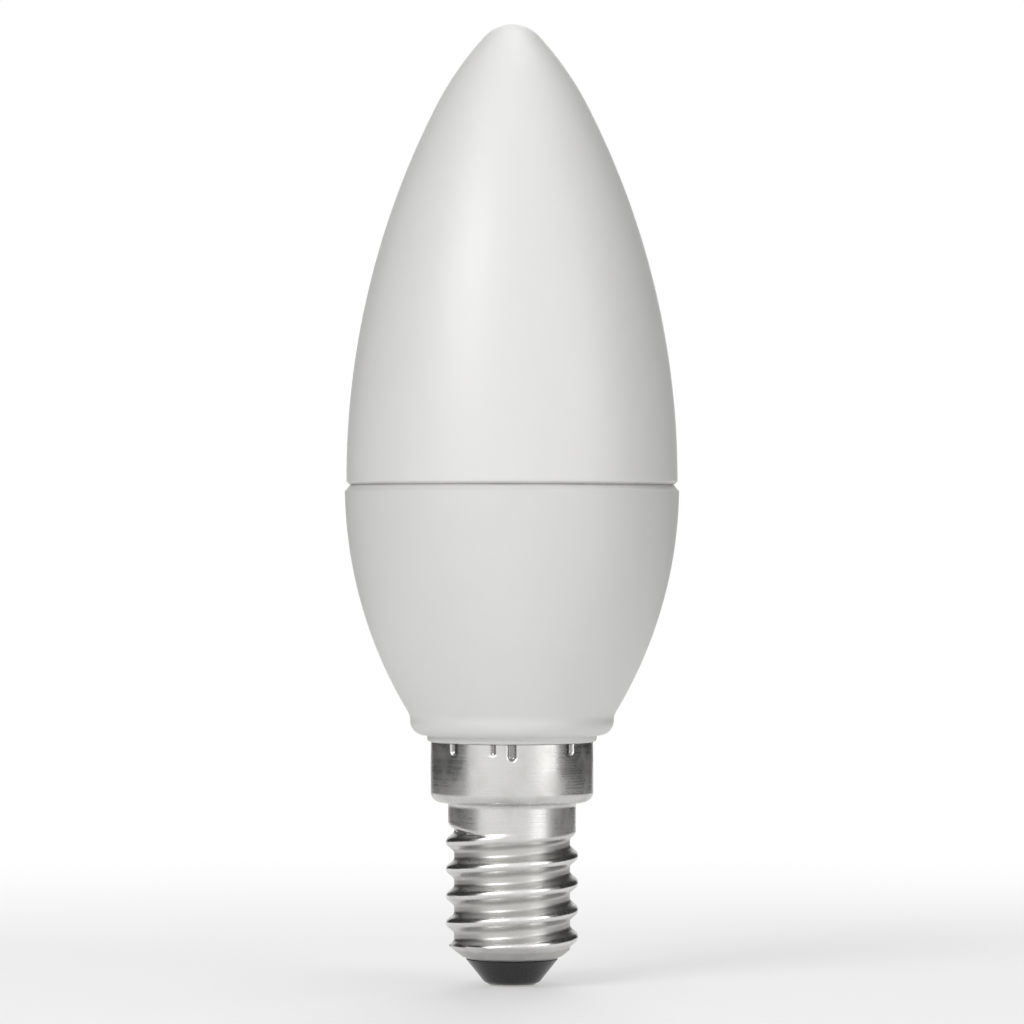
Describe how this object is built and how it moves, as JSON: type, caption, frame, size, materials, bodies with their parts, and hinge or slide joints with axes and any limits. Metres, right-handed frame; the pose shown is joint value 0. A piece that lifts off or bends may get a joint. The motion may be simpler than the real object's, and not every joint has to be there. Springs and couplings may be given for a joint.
{
  "type": "candle bulb",
  "caption": "Screw-in candle lamp: an opal pointed dome on a curved white housing, with a crimped small screw cap, an insulator and a centre contact below.",
  "frame": {"origin": "middle of the centre contact's outer face, at the lamp's lowest point", "axes": "+Z along the lamp's axis from the contact to the tip of the dome, -Y towards the viewer of the picture, +X to the viewer's right"},
  "size_m": [0.035, 0.035, 0.1005],
  "materials": {
    "contact_plate": "nickel-plated, bright",
    "insulator": "black, glossy",
    "cap_plate": "nickel-plated sheet, rolled",
    "housing_plastic": "white, satin",
    "opal_plastic": "opal white, satin",
    "spreader_metal": "pressed",
    "white_board": "white solder mask on a metal core",
    "phosphor": "yellow phosphor",
    "green_board": "green solder mask",
    "pin_metal": "tinned",
    "can_sleeve": "shrunk sleeve",
    "ferrite": "sintered",
    "copper": "enamelled copper",
    "package_black": "moulded",
    "resistor_coat": "cement coat",
    "wire_red": "insulated wire",
    "wire_white": "insulated wire"
  },
  "bodies": {
    "root": {"bridge_rectifier": "package_black", "cap_insulator": "insulator", "cap_shell": "cap_plate", "centre_contact": "contact_plate", "choke_core": "ferrite", "choke_winding": "copper", "diffuser": "opal_plastic", "driver_board": "green_board", "driver_chip": "package_black", "fuse_resistor": "resistor_coat", "heat_spreader": "spreader_metal", "housing": "housing_plastic", "led_1": "phosphor", "led_2": "phosphor", "led_3": "phosphor", "led_4": "phosphor", "led_5": "phosphor", "led_6": "phosphor", "led_7": "phosphor", "led_8": "phosphor", "led_board": "white_board", "link_pin_1": "pin_metal", "link_pin_2": "pin_metal", "live_wire": "wire_red", "neutral_wire": "wire_white", "smoothing_capacitor": "can_sleeve"}
  },
  "joints": []
}
